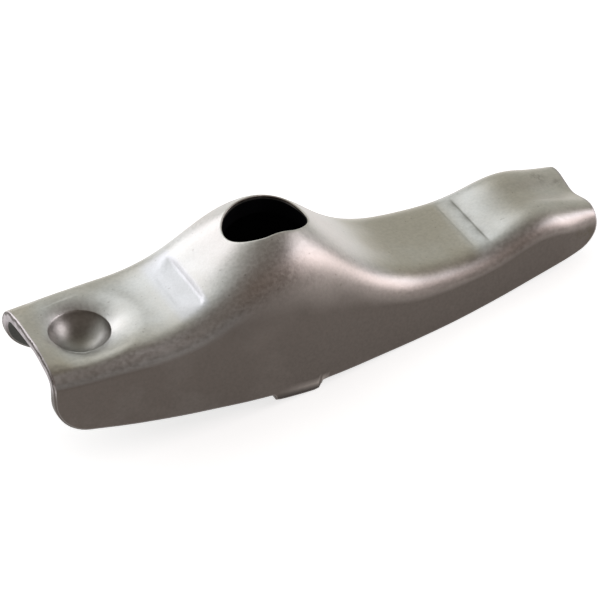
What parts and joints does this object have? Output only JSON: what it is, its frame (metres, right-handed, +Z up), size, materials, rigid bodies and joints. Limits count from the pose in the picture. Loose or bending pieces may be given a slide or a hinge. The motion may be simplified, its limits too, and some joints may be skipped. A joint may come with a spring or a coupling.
{
  "type": "rocker arm",
  "caption": "Stamped steel rocker arm for an overhead valve: a pressed channel with a pushrod cup, a slotted fulcrum hump and a valve pad between guide rails, lying channel down.",
  "frame": {"origin": "where the axis of the rocker stud meets the plane the arm lies on", "axes": "+X along the arm to the valve end, +Y across it, +Z up; the arm lies channel down, so its stud axis leans 8.8 degrees from +Z towards +X"},
  "size_m": [0.0769, 0.0216, 0.0209],
  "materials": {
    "rocker_arm": "tumbled satin steel with oil-brown walls and worn folds"
  },
  "bodies": {
    "root": {"rocker_arm": "rocker_arm"}
  },
  "joints": []
}
